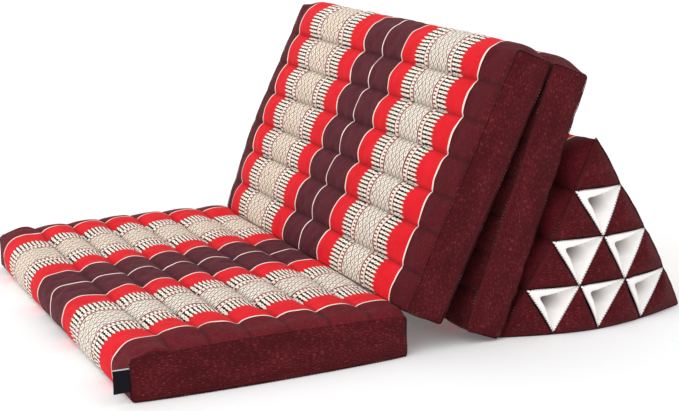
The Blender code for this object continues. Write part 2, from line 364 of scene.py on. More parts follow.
def melange(p, v, dark=DEEP, light=DEEP_LIGHT, amount=0.44):
    """Dark red cloth with short lighter thread flecks that run along v."""
    streak = noise(vector(p * 720.0, v * 130.0, 3.0), 1.0, 1.5, 0.6)
    patch = noise(vector(p * 34.0, v * 12.0, 8.0), 1.0, 3.0, 0.6)
    fleck = ramp(streak + (patch - 0.5) * 0.22, 0.55, 0.70) * amount
    warm = mix(ramp(patch, 0.35, 0.70), dark, srgb(84, 14, 22))
    return mix(fleck, warm, light), streak


def weave_height(p, v, pitch=0.0011):
    a = sine(p * (2 * math.pi / pitch))
    b = sine(v * (2 * math.pi / pitch))
    return a * b * 0.5 + 0.5


def seam_shade(p):
    """Painted shade towards the sewn seams, and the seam lines themselves with their stitches."""
    (near, edge, thread), _ = coordinates("seam")
    uneven = noise(vector(p * 70.0, near * 300.0, 2.0), 1.0, 1.0)
    # painted shade: the cloth darkens to 0.70 of its colour towards each channel seam
    soft = ramp(near, 0.0002, 0.0075) * 0.30 + 0.70
    stitch = centred(p / 0.0052) < 0.66
    line = both(near < (uneven * 0.0008 + 0.0003), stitch)
    side = (edge < 0.0010) * 0.62
    return soft, either(line, side), thread


def woven_material():
    m, shader = start_material("woven_cotton", roughness=0.82)
    (p0, v, plain), _ = coordinates()
    wobble = (noise(vector(p0 * 6.0, v * 18.0, 1.0), 1.0, 2.0) - 0.5) * 0.0012
    p = p0 + wobble
    ap = absolute(p)
    q = absolute(ap - 0.2594)  # from the middle of a pattern band
    period = 0.0083
    t = centred(v / period + (p > 0.0) * 0.37)

    # red ground with a soft thread
    thread = noise(vector(p * 900.0, v * 120.0, 5.0), 1.0, 1.0)
    broad = noise(vector(p * 22.0, v * 22.0, 2.0), 1.0, 2.0)
    red = mix(ramp(thread * 0.6 + broad * 0.4, 0.35, 0.68), srgb(214, 20, 32), srgb(232, 34, 46))
    centre = mix(ramp(thread * 0.7 + broad * 0.3, 0.32, 0.68), srgb(72, 24, 33), srgb(102, 40, 51))
    border, streak = melange(p, v, srgb(80, 13, 22), srgb(150, 66, 74), 0.26)
    side_cloth, _ = melange(p, v)

    # spindle shapes side by side, from the red in
    e = 0.1065 - q
    wide = curve(e, ((0.0, 0.0), (0.06, 0.22), (0.22, 0.56), (0.30, 0.58), (0.35, 0.46), (0.48, 0.72), (0.60, 0.64), (0.66, 0.38),
                     (0.80, 0.70), (0.88, 0.58), (0.95, 0.25), (1.0, 0.0)), 0.0445)
    gap = mix(ramp(e, 0.002, 0.014), srgb(176, 12, 26), INK)
    zone = mix(t < wide, gap, CREAM)
    ring = (e - 0.0223) * (e - 0.0223) * 0.28 + t * t * (period * period * 0.25)
    zone = mix(ring < 0.0010**2, zone, srgb(96, 84, 78))
    zone = mix((e < 0.010) * (t > wide) * (t > 0.55), zone, red)

    # small squares between two lines
    zone = mix(e > 0.0445, zone, PINK_CREAM)
    t2 = centred(v / 0.0076 + 0.3)
    zone = mix(between(e, 0.0490, 0.0600), zone, mix(t2 < 0.5, srgb(228, 186, 176), CREAM))
    zone = mix(between(e, 0.0508, 0.0582) * (t2 > 0.62), zone, srgb(84, 22, 28))
    zone = mix(between(e, 0.0598, 0.0640), zone, srgb(78, 16, 24))

    # lattice of diamonds
    a, b = v / 0.0215, (ap - 0.2594) / 0.0180
    f1, f2 = centred(a + b), centred(a - b)
    grain = noise(vector(p * 430.0, v * 430.0, 4.0), 1.0, 1.0)
    stroke = noise(vector(p * 260.0, v * 620.0, 6.0), 1.0, 1.0)
    ground = mix(ramp(grain, 0.35, 0.65), mix(p > 0.0, srgb(234, 224, 212), srgb(240, 216, 190)), srgb(252, 243, 230))
    cell = mix(ramp(stroke, 0.66, 0.72) * 0.45, ground, srgb(170, 150, 132))
    cell = mix(both(f1 < 0.24, f2 < 0.24), cell, srgb(134, 112, 98))
    net = either(f1 > 0.82, f2 > 0.82)
    cell = mix(net * (ramp(stroke, 0.30, 0.50) * 0.30 + 0.62), cell, mix(grain > 0.48, srgb(136, 112, 96), srgb(78, 58, 52)))

    pattern = mix(q < 0.0400, zone, cell)
    colour = mix(q < 0.1065, red, pattern)
    colour = mix(ap < 0.0926, colour, centre)
    soft, dark, ridge = seam_shade(p)
    # painted light: the border is made lighter on the seat cover (seam flag 0.3), whose top is more lit than the back's
    border = shaded(border, (ridge > 0.2) * 0.42 + 1.0)
    colour = mix(ap > 0.4262, colour, border)
    # a near-black line beside each cream line, then the line
    shade = either(absolute(absolute(p) - 0.0034) < 0.0013, absolute(ap - 0.0889) < 0.0015)
    shade = either(shade, absolute(ap - 0.4299) < 0.0015)
    colour = mix(shade * 0.80, colour, INK)
    line = either(absolute(p) < 0.0021, either(absolute(ap - 0.0926) < 0.0022, absolute(ap - 0.4262) < 0.0022))
    colour = mix(line, colour, srgb(252, 226, 214))
    colour = mix(ap > 0.4999, colour, side_cloth)
    colour = mix(plain > 0.5, colour, side_cloth)

    # painted shade beside the sewn seams, the seam lines, colour unevenness and wear
    age = noise(vector(p * 9.0, v * 9.0, 7.0), 1.0, 3.0)
    # soft is painted shade towards the channel seams; age is colour unevenness
    colour = shaded(colour, (age * 0.20 + 0.90) * soft)
    colour = mix(dark * 0.62, colour, srgb(46, 10, 15))
    twist = centred(v / 0.0062) < 0.42
    speck = mix(twist * ramp(broad + thread * 0.4, 0.72, 0.92) * 0.55, srgb(50, 11, 16), srgb(140, 92, 90))
    colour = mix(ridge > 0.5, colour, speck)
    height = weave_height(p, v) + streak * 0.8
    end_material(shader, colour, height, 0.30, 0.0005, ramp(thread, 0.2, 0.8) * 0.12 + 0.76)
    return m


def white_material():
    m, shader = start_material("pocket_cotton", roughness=0.9, sheen=0.08, tint=(1, 1, 1, 1))
    (x, z, along), _ = coordinates()
    (top, left, rim), _ = coordinates("lip")
    grain = noise(vector(x * 700.0, z * 700.0, 3.0), 1.0, 2.0)
    broad = noise(vector(x * 45.0, z * 45.0, 6.0), 1.0, 3.0)
    colour = mix(ramp(grain * 0.4 + broad * 0.6, 0.3, 0.7), srgb(248, 243, 241), srgb(255, 254, 253))
    # painted shadow: the cloth is darkened brown deep in the recess under the padded lips
    fold = both(ramp(top, 0.040, 0.006), ramp(left, 0.043, 0.013)) * both(top > 0.0, left > 0.0)
    colour = mix(fold * 0.95, colour, srgb(108, 84, 76))
    # painted shadow: a thin grey line along the inner side of the padded lip
    painted_lip_shadow = either(both(absolute(top + 0.0006) < 0.0007, left > -0.0010), both(absolute(left + 0.0004) < 0.0007, top > -0.0010))
    colour = mix(painted_lip_shadow * 0.60, colour, srgb(120, 106, 102))
    stitch = both(rim < 0.0016, centred(along / 0.0054) > 0.52)
    colour = mix(stitch * 0.85, colour, srgb(62, 20, 24))
    end_material(shader, colour, weave_height(x, z, 0.0009) + grain * 0.6, 0.3, 0.0004)
    return m


# ------------------------------------------------------------------ mats
GRIDS = {}  # rows and columns of each cover's main grid
EDGES = {}  # the vertices along each cover's sewn edges


def warp_table(row):
    """The weave's own across coordinate at width y and length s."""

    def warp(y, s):
        s_from = row["length"] - s if row is MATS["seat_mat"] else s
        knots = np.array([l[0] for l in row["lines"]])[:, None]
        drift = np.array([l[1] for l in row["lines"]])[:, None]
        if row is MATS["seat_mat"]:
            drift = -drift
        at = knots + drift * s_from[None, :]
        low = np.vstack([at[:1] - 0.3, at, at[-1:] + 0.3])
        nominal = np.array([NOMINAL[0] - 0.3, *NOMINAL, NOMINAL[-1] + 0.3])
        out = np.zeros_like(y)
        for k in range(len(nominal) - 1):
            hit = (y >= low[k]) & (y <= low[k + 1]) if k else y <= low[1]
            if k == len(nominal) - 2:
                hit = y >= low[k]
            f = (y - low[k]) / (low[k + 1] - low[k])
            out = np.where(hit, nominal[k] + f * (nominal[k + 1] - nominal[k]), out)
        return out

    return warp


def mat_sections(name, y):
    """At width y: seam outline and full outline as arrays (loop, 2), point for point."""
    row = MATS[name]
    L, T, seed = row["length"], row["thick"], row["seed"]
    seams = [0.0, *row["seams"], L]
    seams = [
        s + (0.0014 * float(noise1(y, 0.11, seed + 7 * i)[0]) if 0 < i < CHANNELS else 0.0) for i, s in enumerate(seams)
    ]
    along, unit, chan = [], [], []
    for c in range(CHANNELS):
        for u in STEPS:
            along.append(seams[c] + u * (seams[c + 1] - seams[c]))
            unit.append(u)
            chan.append(c)
    along.append(L)
    unit.append(1.0)
    chan.append(CHANNELS - 1)
    along, unit, chan = np.array(along), np.array(unit), np.array(chan)
    lo, hi = row["turns"]
    inner = (along - lo) / (L - lo - hi)
    run = np.clip(along, lo * (1 - inner), L - hi * inner)
    run[0], run[-1] = lo, L - hi

    # patterned face
    crest_noise = np.array([float(noise1(y + 3.1 * c, 0.16, seed + 3)[0]) for c in range(CHANNELS)])
    fine_noise = np.array([float(noise1(y + 1.7 * c, 0.055, seed + 5)[0]) for c in range(CHANNELS)])
    left = np.where(chan == 0, row["lips"][0], row["valley"])
    right = np.where(chan == CHANNELS - 1, row["lips"][1], row["valley"])
    base = left + (right - left) * unit
    lift = np.array(row["lifts"])[chan] * (1 + 0.07 * crest_noise[chan] + 0.04 * fine_noise[chan])
    depth = 0.5 - abs(y)
    side = "near" if y < 0 else "far"
    rise = float(np.interp(depth, *VALLEY[name == "seat_mat", side]))
    crest = float(np.interp(depth, *CREST[side]))
    late = smooth01((along - 0.155) / 0.065) if name == "seat_mat" and side == "near" else np.zeros(len(along))
    lift = lift * crest * (1 + 0.30 * late * math.exp(-(((depth - 0.068) / 0.030) ** 2)))
    base = base * (min(rise, 1.0) + max(rise - 1.0, 0.0) * (1 - 0.95 * late))
    if name == "rear_mat" and side == "near":
        T = T + 0.0085 * math.exp(-((depth / 0.055) ** 2))
    sunk = np.zeros(len(along))
    if name == "back_mat" and side == "far":
        sunk = 0.017 * np.clip(1 - along / 0.23, 0, 1) ** 1.3 * math.exp(-((depth / 0.085) ** 2))
    crease = 0.0014 * (np.exp(-((unit / 0.05) ** 2)) + np.exp(-(((1 - unit) / 0.05) ** 2)))
    crease[:1] = 0
    crease[-1:] = 0
    top_full = T - sunk + base + lift * tube(unit) - crease * (np.arange(len(unit)) > 0)
    wave = 0.0009 * noise1(along + 5 * (y > 0), 0.06, seed + 9)
    top_seam = np.full(len(along), T) - sunk + wave + 0.0014 * tube(unit)
    top_seam[0] -= lo
    top_seam[-1] -= hi
    if name == "seat_mat":
        across = (2 * y / WIDTH) ** 2
        settle = -0.007 * np.exp(-((along / 0.13) ** 2)) * (1 - across)
        settle = settle + 0.005 * across * np.sin(math.pi * np.clip(along / 0.52, 0, 1))
        settle[0] = settle[-1] = 0
        top_full, top_seam = top_full + settle, top_seam + settle
    seam = [np.stack([run, top_seam], 1)]
    full = [np.stack([run, top_full], 1)]
    first = chan == 0
    if name == "seat_mat":
        # the free end: one round channel from the lower edge over to the first seam
        nose = np.array([(0.003, 0.0), (-0.0055, 0.014), (-0.0085, 0.033), (-0.0065, 0.052), (0.002, 0.070), (0.016, 0.0835),
                         (0.034, 0.0890), (0.052, 0.0888), (0.066, T + row["valley"] * (0.7 + 0.3 * rise) + 0.0022),
                         (seams[1], T + row["valley"] * rise - 0.0014)])
        # fuller in the middle of the width than at its corners
        nose[:7, 0] -= 0.0065 * (1 - abs(2 * y / WIDTH) ** 5) * np.array([0.0, 0.5, 0.9, 1.0, 0.8, 0.45, 0.15])
        reach = np.concatenate([[0], np.cumsum(np.linalg.norm(np.diff(nose, axis=0), axis=1))])
        fine = np.linspace(0, reach[-1], 200)
        smooth = np.stack([cubic(reach, nose[:, k], fine) for k in (0, 1)], 1)
        corner = reach[4] / reach[-1]
        at = corner + (1 - corner) * unit[first]
        over = np.stack([np.interp(at * reach[-1], fine, smooth[:, k]) for k in (0, 1)], 1)
        over[:, 1] += settle[first] * smooth01(unit[first] * 2) + 0.0008 * crest_noise[0]
        full[0][first] = over

    v = np.linspace(1, 0, END_STEPS + 1)[1:-1]
    puff = 1 + 0.12 * float(noise1(y, 0.14, seed + 13)[0])
    seam.append(np.stack([np.full(len(v), L), T * v], 1))
    full.append(np.stack([L + row["finish"] * puff * tube(v, 2.6), T * v], 1))

    # plain face
    if name == "seat_mat":
        low_seam = np.zeros(len(along))
        groove = 0.0042 * (np.exp(-((unit / 0.10) ** 2)) + np.exp(-(((1 - unit) / 0.10) ** 2)))
        groove[0] = groove[-1] = 0
        groove[chan == 0] *= (unit > 0.5)[chan == 0]
        groove[chan == 6] *= (unit < 0.5)[chan == 6]
        low_full = groove
    else:
        near = along if name == "rear_mat" else L - along
        belly = np.minimum(row["under"], 0.0012 + 0.5 * near * math.tan(BACK_LEAN - REAR_LEAN))
        belly = belly * (1 + 0.10 * crest_noise[chan])
        low_seam = np.zeros(len(along))
        low_seam[0], low_seam[-1] = lo, hi
        low_full = -belly * tube(unit) + 0.0005
        low_full[0] = low_full[-1] = 0.0
    seam.append(np.stack([run, low_seam], 1)[::-1])
    full.append(np.stack([run, low_full], 1)[::-1])
    puff = 1 + 0.12 * float(noise1(y, 0.14, seed + 17)[0])
    seam.append(np.stack([np.zeros(len(v)), T * v[::-1]], 1))
    full.append(np.stack([-row["start"] * puff * tube(v, 2.6), T * v[::-1]], 1))
    if name == "seat_mat":
        at = corner * (1 - v)
        full[-1] = np.stack([np.interp(at * reach[-1], fine, smooth[:, k]) for k in (0, 1)], 1)
    return np.concatenate(seam), np.concatenate(full), along, unit, chan


def side_stations():
    """Widths of the sections: close together near the side seams."""
    near = [0.0, 0.002, 0.006, 0.012, 0.020, 0.030, 0.041, 0.053, 0.066]
    inner = list(np.linspace(0.080, 1.0 - 0.080, 105))
    return np.array([*near, *inner, *[1.0 - d for d in reversed(near)]]) - 0.5


def build_mat(name, material):
    row = MATS[name]
    L, T, seed = row["length"], row["thick"], row["seed"]
    ys = side_stations()
    n_along = CHANNELS * len(STEPS) + 1
    n_end = END_STEPS - 1
    n = 2 * n_along + 2 * n_end
    pos, weave, pin, lines = [], [], [], []
    warp = warp_table(row)
    top_start, far_start = 0, n_along
    low_start, near_start = n_along + n_end, 2 * n_along + n_end
    for y in ys:
        depth = 0.5 - abs(y)
        g = edge_roll(depth, 0.085)
        seam, full, along, unit, chan = mat_sections(name, y)
        share = np.full(n, edge_roll(depth, 0.050))
        share[:n_along] = min(1.0, depth / 0.004)  # the patterned face has its own rise from the side seam
        share[low_start:near_start] = g
        if name == "seat_mat":
            rolled = edge_roll(depth, 0.060)
            share[near_start:] = rolled
            nose = chan == 0
            share[:n_along][nose] = rolled + (share[0] - rolled) * smooth01(unit[nose] / 0.9)
        at = seam + (full - seam) * share[:, None]
        at[:, 0] += row["skew"] * (1 - at[:, 1] / T) * np.clip(at[:, 0] / L, 0, 1) ** 6
        # length coordinate: along the patterned face, and on round the ends
        s = np.concatenate([
            along, L + T * (1 - np.linspace(1, 0, END_STEPS + 1)[1:-1]), along[::-1],
            -T * (1 - np.linspace(1, 0, END_STEPS + 1)[1:-1][::-1]),
        ])
        flag = np.zeros(n)
        flag[low_start:near_start] = 1.0
        flag[low_start] = flag[near_start - 1] = 0.9
        sy = np.full(n, y)
        p = warp(sy, np.clip(s, 0, L))
        # each channel seam draws the side in a little
        drawn = np.zeros(n)
        drawn[:n_along] = 0.0018 * (1 - tube(unit)) * (1 - g)
        if name == "back_mat" and y > 0:
            drawn = drawn + 0.012 * np.clip(1 - np.clip(s, 0, L) / 0.20, 0, 1) ** 1.5 * math.exp(-((depth / 0.06) ** 2))
        if name == "seat_mat" and y < 0:  # the lower edge of the seat bows out over the floor
            bow = 0.014 * np.sin(math.pi * np.clip(along / L, 0, 1)) ** 0.6 * math.exp(-((depth / 0.05) ** 2))
            drawn[low_start:near_start] -= bow[::-1]
        pos.append(np.stack([at[:, 0], sy - np.sign(y) * drawn, at[:, 1]], 1))
        weave.append(np.stack([p, s, flag], 1))
        near_seam = np.full(n, 0.02)
        reach = np.minimum(np.where(chan == 0, 1.0, unit), np.where(chan == CHANNELS - 1, 1.0, 1 - unit)) * L / CHANNELS
        near_seam[:n_along] = reach
        near_seam[low_start:near_start] = reach[::-1]
        # the third value, 0.3, marks the seat cover, whose border gets painted light
        lines.append(np.stack([near_seam, np.full(n, depth), np.full(n, 0.3 if name == "seat_mat" else 0.0)], 1))
        k = np.zeros(n)
        k[top_start:far_start][unit == 0.0] = 1
        k[far_start - 1] = 1
        rev = unit[::-1]
        k[low_start:near_start][rev == 0.0] = 1
        k[low_start] = 1
        if name == "seat_mat":
            k[top_start] = 0
            k[low_start:near_start] = 1
        if depth < 0.001:
            k[:] = 1
        pin.append(k)
    m = len(ys)
    pos, weave, pin, lines = np.concatenate(pos), np.concatenate(weave), np.concatenate(pin), np.concatenate(lines)
    faces = []
    for j in range(m - 1):
        a0, b0 = j * n, (j + 1) * n
        for k in range(n):
            k2 = (k + 1) % n
            faces.append((a0 + k, a0 + k2, b0 + k2, b0 + k))
    # side panels
    extra_pos, extra_weave, extra_pin, extra_lines = [], [], [], []
    count = len(pos)
    rows = END_STEPS
    for side, j in ((-1.0, 0), (1.0, m - 1)):
        ring = j * n + np.arange(n)
        top = ring[top_start:far_start]
        far = ring[far_start:low_start]
        low = ring[low_start:near_start][::-1]
        near = ring[near_start:][::-1]  # from the top down
        grid = np.zeros((rows + 1, n_along), int)
        grid[0], grid[rows] = top, low
        for i in range(1, rows):
            grid[i, 0], grid[i, -1] = near[i - 1], far[i - 1]
            f = i / rows
            for k in range(1, n_along - 1):
                a, b = pos[top[k]], pos[low[k]]
                w = a * (1 - f) + b * f
                s = min(w[0], L)
                edge = min(1.0, min(s, L - s) / 0.05)
                belly = 0.0052 * tube(f, 2.4) * math.sqrt(max(0.0, edge * (2 - edge)))
                grid[i, k] = count
                count += 1
                extra_pos.append((w[0], w[1] + side * belly, w[2]))
                extra_weave.append((side * (0.5 + T * f), s, 0.0))
                extra_pin.append(0.0)
                extra_lines.append((0.02, T * min(f, 1 - f), 0.0))
        for i in range(rows):
            for k in range(n_along - 1):
                faces.append((grid[i, k], grid[i, k + 1], grid[i + 1, k + 1], grid[i + 1, k]))
    pos = np.concatenate([pos, np.array(extra_pos)])
    weave = np.concatenate([weave, np.array(extra_weave)])
    pin = np.concatenate([pin, np.array(extra_pin)])
    lines = np.concatenate([lines, np.array(extra_lines)])

    # soft unevenness of the filling, away from the seams
    loft = 0.0010 * noise3(pos, 0.060, seed + 21) + 0.0004 * noise3(pos, 0.024, seed + 22)
    obj = new_mesh(name + "_cover", pos, faces, {"weave": weave, "seam": lines})
    outward(obj)
    normals = np.zeros(len(pos) * 3, np.float32)
    obj.data.vertices.foreach_get("normal", normals)
    normals = normals.reshape(-1, 3)
    free = 1 - pin
    if name == "seat_mat":
        free = free * smooth01(pos[:, 2] / 0.02)
    moved = pos + normals * (loft * free)[:, None]
    obj.data.vertices.foreach_set("co", moved.astype(np.float32).ravel())
    obj.data.update()
    obj.data.transform(matrix_of(name))
    group = obj.vertex_groups.new(name="pins")
    group.add([int(i) for i in np.nonzero(pin > 0.5)[0]], 1.0, "REPLACE")
    obj.data.materials.append(material)
    GRIDS[obj.name] = (m, n)
    last = (m - 1) * n
    EDGES[obj.name] = dict(
        top=[list(range(0, n_along)), list(range(last, last + n_along))],
        low=[list(range(low_start, near_start)), list(range(last + low_start, last + near_start))],
        far=[[n_along - 1, *range(far_start, low_start), low_start], [last + n_along - 1, *range(last + far_start, last + low_start), last + low_start]],
        near=[[near_start - 1, *range(near_start, n), 0], [last + near_start - 1, *range(last + near_start, last + n), last]],
        hems=[[j * n + k for j in range(m)] for k in (0, n_along - 1, low_start, near_start - 1)],
    )
    return obj


# ------------------------------------------------------------------ bolster
ROLLS, FINE = 4, 12
FRONT_ROLLS = (0.024, 0.022, 0.014, 0.004)
REAR_ROLLS = (0.018, 0.018, 0.017, 0.012)
CORNER_IN = (0.020, 0.012, 0.028)
PIT_DEPTH = 0.060  # of a recess in the filling


def lattice(i, j, rows):
    ridge, rear = 1.0 - i / rows, j / rows
    return ridge, 1.0 - ridge - rear, rear


def end_place(w):
    dx, dz = corner_shift(w)
    return w[2] * TRI_BASE + w[0] * TRI_APEX * TRI_BASE + dx, w[0] * TRI_HEIGHT + dz


def corner_shift(w):
    """How the sewn end differs from a plain triangle: the ridge corner stands up, the lower edge is drawn to the front."""
    up = max(0.0, (w[0] - 0.66) / 0.34) ** 1.5
    low = 4 * max(0.0, w[1] * w[2]) * (1 - w[0]) ** 2 * min(1.0, 2 * max(0.0, w[2])) ** 1.3
    return 0.005 * up - 0.020 * low, 0.006 * up


def end_out(w):
    belly = 0.020 * max(0.0, 27.0 * w[0] * w[1] * w[2]) ** 0.7 + 0.032 * 4 * max(0.0, w[1] * w[2]) * (1 - w[0]) ** 4
    drawn = sum(a * max(0.0, 2.0 * b - 1.0) ** 1.5 for a, b in zip(CORNER_IN, w))
    return belly - drawn


def small_place(i, j):
    """(row, column, inverted, least weight 0..1) of the small triangle round a fine point."""
    r, c = min(i // FINE, ROLLS - 1), j // FINE
    di, dj = i - r * FINE, j - c * FINE
    if dj <= di:
        w = (1 - di / FINE, (di - dj) / FINE, dj / FINE)
        return r, c, False, 3 * min(w)
    w = (1 - dj / FINE, (dj - di) / FINE, di / FINE)
    return r, c, True, 3 * min(w)


def pit_depth(i, j):
    """How far the cover lies back behind a pocket, at a fine point of the end."""
    c0, r0 = j // FINE, i // FINE
    di, dj = i - r0 * FINE, j - c0 * FINE
    w = np.array([1 - dj / FINE, (dj - di) / FINE, di / FINE])
    deepest = 0.0
    for a in (-1, -0.5, 0, 0.5, 1):
        for b in (-1, -0.5, 0, 0.5, 1):
            near = w + np.array([-b, b - a, a]) / FINE
            if near.min() >= 0:
                lip, depth, _, _ = pocket_fall(near)
                deepest = max(deepest, depth - lip)
    if float(w.min()) < 1e-6:  # on the seam itself the cover lies right behind the cloth
        return 0.0006
    return 0.0040 + deepest + 0.35 * deepest * min(1.0, 3 * float(w.min()) / 0.5)


def roll_section():
    front, rear = np.array([0.0, 0.0]), np.array([TRI_BASE, 0.0])
    top = np.array([TRI_APEX * TRI_BASE, TRI_HEIGHT])
    n = ROLLS * FINE
    out = []
    for a, b, bellies in ((front, top, FRONT_ROLLS[::-1]), (top, rear, REAR_ROLLS)):
        along = (b - a) / np.linalg.norm(b - a)
        normal = np.array([-along[1], along[0]])
        for k in range(n):
            u = (k % FINE) / FINE
            base = 0.004 * min(1.0, 2.0 * k / FINE, 2.0 * (n - k) / FINE)
            crease = 0.0030 * math.exp(-((min(u, 1 - u) / 0.07) ** 2)) if k else 0.0
            out.append((a + (b - a) * k / n, normal, bellies[k // FINE] * float(tube(u, 2.2)), base - crease, k % FINE == 0))
    for k in range(n):
        out.append((rear + (front - rear) * k / n, np.array([0.0, -1.0]), 0.0, 0.0, True))
    return out


def build_bolster(material):
    n = ROLLS * FINE
    section = roll_section()
    border = [(n - k, 0) for k in range(n)] + [(k, k) for k in range(n)] + [(n, n - k) for k in range(n)]
    near = [0.0, 0.0018, 0.005, 0.010, 0.017, 0.025, 0.034, 0.044, 0.055]
    ys = np.array([*near, *np.linspace(0.066, 1 - 0.066, 97), *[1 - d for d in reversed(near)]]) - 0.5
    m = len(section)
    pos, weave, pin, lines = [], [], [], []
    along = np.cumsum([0.0, *[float(np.linalg.norm(section[(k + 1) % m][0] - section[k][0])) for k in range(m - 1)]])
    for y in ys:
        yy = y * 2 * TRI_HALF
        depth = 0.5 - abs(y)
        g = edge_roll(depth, 0.055, 1.1)
        share = abs(y) * 2
        side = 1.0 if y > 0 else -1.0
        for k, ((at, normal, belly, base, seam), (i, j)) in enumerate(zip(section, border)):
            roll = k // FINE
            rough = 1 + 0.09 * float(noise1(y + roll * 2.3, 0.15, 41)[0]) + 0.05 * float(noise1(y + roll * 1.1, 0.05, 43)[0]) if belly else 1
            rise = g if k < n else edge_roll(depth, 0.050, 1.2)
            rise = 0.18 + 0.82 * rise if n < k < 2 * n else rise  # the rear edge of the end is scalloped
            q = at + normal * (belly * rough + base) * rise
            w = lattice(i, j, n)
            pull = end_out(w) * share**6
            dx, dz = corner_shift(w)
            pos.append((q[0] + dx * share**8, yy + side * pull, q[1] + dz * share**8))
            if k < n:  # front face: woven, its length carried on from the rear mat
                weave.append((y * 1.0, along[k], 0.0))
            elif k < 2 * n:
                weave.append((y * 1.0, along[k], 0.0))
            else:
                weave.append((y * 1.0, along[k], 1.0))
            pin.append(1.0 if seam or depth < 0.001 else 0.0)
            u = (k % FINE) / FINE
            hem = k < FINE / 2 or abs(k - n) < FINE / 2 or k > 2 * n - FINE / 2
            lines.append((0.02 if hem else min(u, 1 - u) * 0.1, depth, 0.0))
    faces = []
    for a in range(len(ys) - 1):
        for k in range(m):
            b = (k + 1) % m
            faces.append((a * m + k, a * m + b, (a + 1) * m + b, (a + 1) * m + k))
    for side, first in ((-1.0, 0), (1.0, (len(ys) - 1) * m)):
        index = {at: first + k for k, at in enumerate(border)}
        for i in range(n + 1):
            for j in range(i + 1):
                if (i, j) in index:
                    continue
                w = lattice(i, j, n)
                x, z = end_place(w)
                r, c, inverted, least = small_place(i, j)
                out = end_out(w)
                if inverted:
                    out -= pit_depth(i, j)
                else:
                    out += 0.0090 * max(0.0, least) ** 0.6
                index[(i, j)] = len(pos)
                pos.append((x, side * (TRI_HALF + out), z))
                weave.append((side * (0.5 + TRI_HEIGHT - z), x, 1.0))
                pin.append(1.0 if (least < 0.01 or inverted) else 0.0)
                lines.append((0.02, least * 0.03, 0.0))
        for i in range(n):
            for j in range(i + 1):
                faces.append((index[(i, j)], index[(i + 1, j)], index[(i + 1, j + 1)]))
                if j < i:
                    faces.append((index[(i, j)], index[(i, j + 1)], index[(i + 1, j + 1)]))
    pos, weave, pin = np.array(pos), np.array(weave), np.array(pin)
    obj = new_mesh("triangle_cushion_cover", pos, faces, {"weave": weave, "seam": np.array(lines)})
    outward(obj)
    normals = np.zeros(len(pos) * 3, np.float32)
    obj.data.vertices.foreach_get("normal", normals)
    loft = (0.0014 * noise3(pos, 0.055, 61) + 0.0006 * noise3(pos, 0.022, 62)) * (1 - pin) * smooth01(pos[:, 2] / 0.02)
    moved = pos + normals.reshape(-1, 3) * loft[:, None]
    obj.data.vertices.foreach_set("co", moved.astype(np.float32).ravel())
    obj.data.transform(Matrix.Translation((TRI_X - MID_X, 0, 0)))
    group = obj.vertex_groups.new(name="pins")
    group.add([int(i) for i in np.nonzero(pin > 0.5)[0]], 1.0, "REPLACE")
    obj.data.materials.append(material)
    GRIDS[obj.name] = (len(ys), m)
    last = (len(ys) - 1) * m
    EDGES[obj.name] = dict(
        front=[list(range(0, n + 1)), list(range(last, last + n + 1))],
        rear=[list(range(n, 2 * n + 1)), list(range(last + n, last + 2 * n + 1))],
        base=[[*range(2 * n, 3 * n), 0], [*range(last + 2 * n, last + 3 * n), last]],
        hems=[[a * m + k for a in range(len(ys))] for k in (0, n, 2 * n)],
    )
    return obj


def pocket_fall(w):
    """Shape of the pocket cloth at weights w: (lip height, depth, over the lips' inner sides)."""
    h, dl, dr = w[2] * 0.0889, w[1] * 0.092, w[0] * 0.092  # from the top, left and right edges
    q = w[1] / max(1e-6, w[0] + w[1])
    q2 = w[2] / max(1e-6, w[0] + w[2])
    wide_top = 0.0150 * max(0.0, 1 - q**1.6) + 0.0012
    wide_left = 0.0125 * max(0.0, 1 - q2**2.2) + 0.0012
    lip = 0.0
    if h < wide_top:
        lip = max(lip, 0.0060 * math.sin(math.pi * min(1.0, h / wide_top * 0.76 + 0.12)) ** 0.5 * (wide_top / 0.0162) ** 0.8)
    if dl < wide_left:
        lip = max(lip, 0.0060 * math.sin(math.pi * min(1.0, dl / wide_left * 0.76 + 0.12)) ** 0.5 * (wide_left / 0.0137) ** 0.8)
    falls = np.array([max(0.0, h - wide_top) * 9.0, max(0.0, dl - wide_left) * 6.0, dr * 0.86 + 0.0004])
    depth = float(-0.0012 * np.log(np.exp(-falls / 0.0012).sum()) + 0.0012 * math.log(3))
    depth = min(0.054, max(0.0, depth)) * float(smooth01((1 - float(max(w)) - 0.03) / 0.14))
    return lip, depth, h - wide_top, dl - wide_left


def pocket_surface(side, r, c, w, seed):
    """The pocket cloth's place for weights w: upper left, upper right, lower corner."""
    n = ROLLS * FINE
    corners = [np.array(v, float) for v in ((r * FINE, c * FINE), (r * FINE, (c + 1) * FINE), ((r + 1) * FINE, (c + 1) * FINE))]
    if r == ROLLS - 1:  # the lowest cloths end a little above the floor
        corners[2] = corners[2] - (0.70, 0.40)
    tight = w.astype(float)
    for k in range(3):
        a, b = w[(k + 1) % 3], w[(k + 2) % 3]
        over = 0.0135 * max(0.0, 1 - w[k] / 0.25) * min(1.0, a / 0.10) * min(1.0, b / 0.10)
        tight = tight + over * (0.5 - 1.5 * (np.arange(3) == k))
    ij = sum(a * t for a, t in zip(corners, tight))
    lw = lattice(ij[0], ij[1], n)
    x, z = end_place(lw)
    lip, depth, over_top, over_left = pocket_fall(w)
    soft = float(noise3(np.array([[x, z, 0.3 * side]]), 0.016, seed)[0])
    fold = 0.0007 * soft * min(1.0, 12 * float(w.min()))
    clear = 0.0017 + 0.0006 * min(1.0, 14 * float(w.min()))
    edges = ((w[2] * 0.0889, w[1] * 0.1), (w[1] * 0.092, w[2] * 0.1), (w[0] * 0.092, w[2] * 0.1))
    rim, along = min(edges)
    return (x, end_out(lw) + clear + lip - depth + fold, z), (over_top, over_left, rim), along


